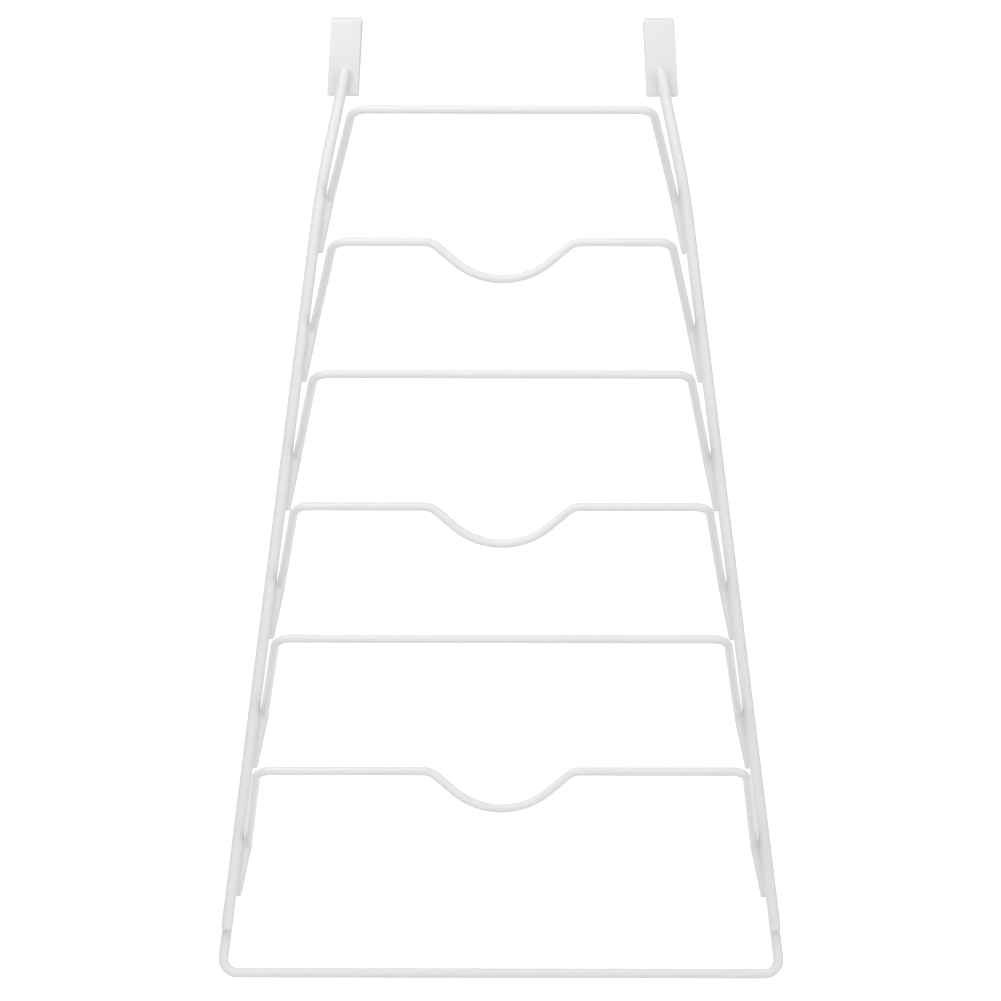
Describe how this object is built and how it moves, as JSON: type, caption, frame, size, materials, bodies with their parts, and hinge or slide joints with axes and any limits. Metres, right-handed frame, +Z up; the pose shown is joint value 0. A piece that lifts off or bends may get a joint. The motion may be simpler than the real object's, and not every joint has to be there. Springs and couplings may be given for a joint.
{
  "type": "pot lid rack",
  "caption": "Over-door wire rack that holds pot lids upright one above the other, with two splayed rails, stepped cross wires and flat door hooks.",
  "frame": {"origin": "on the top front edge of the door, midway between the two hooks", "axes": "+X to the right along the door, -Y out of the door into the room, +Z up"},
  "size_m": [0.2834, 0.0941, 0.4821],
  "materials": {
    "coated_wire": "slightly glossy white coating over steel wire",
    "coated_strip": "slightly glossy white coating over flat steel strip"
  },
  "bodies": {
    "root": {"left_rail": "coated_wire", "right_rail": "coated_wire", "left_hook": "coated_strip", "right_hook": "coated_strip", "plain_wire_top": "coated_wire", "dipped_wire_top": "coated_wire", "plain_wire_middle": "coated_wire", "dipped_wire_middle": "coated_wire", "plain_wire_low": "coated_wire", "dipped_wire_low": "coated_wire", "bottom_bar": "coated_wire"}
  },
  "joints": []
}
